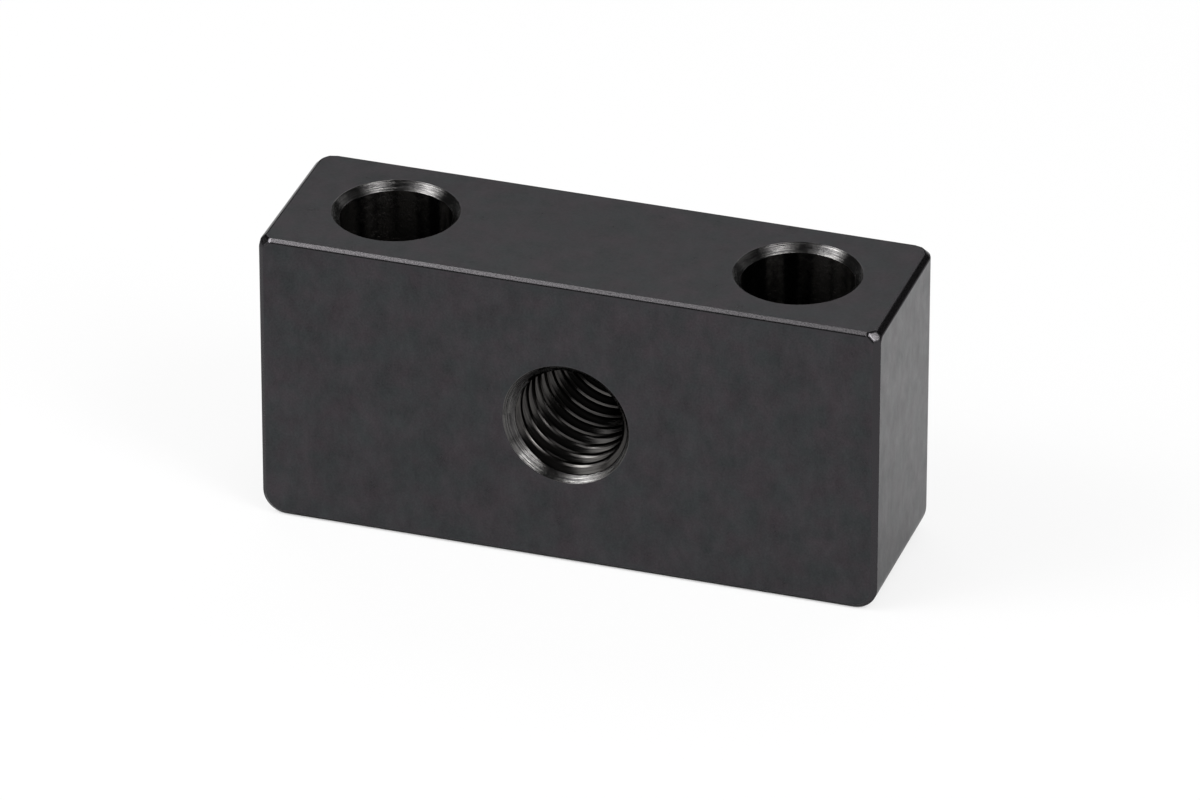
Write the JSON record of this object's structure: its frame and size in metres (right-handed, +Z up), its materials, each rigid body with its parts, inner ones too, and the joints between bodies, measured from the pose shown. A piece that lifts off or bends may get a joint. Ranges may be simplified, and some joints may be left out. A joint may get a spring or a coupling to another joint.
{
  "type": "mounting block",
  "caption": "Blackened steel block with plain bolt holes down through its ends and a threaded hole through its middle from front to back, for fixing a part square to its base.",
  "frame": {"origin": "centre of the bottom face", "axes": "+X along the block's length, +Z up along the plain bolt holes, front face towards -Y"},
  "size_m": [0.04, 0.012, 0.0195],
  "materials": {
    "blackened_steel": "black oxide over fine-milled steel, brighter on the broken edges and in the hole mouths"
  },
  "bodies": {
    "root": {"mounting_block": "blackened_steel"}
  },
  "joints": []
}
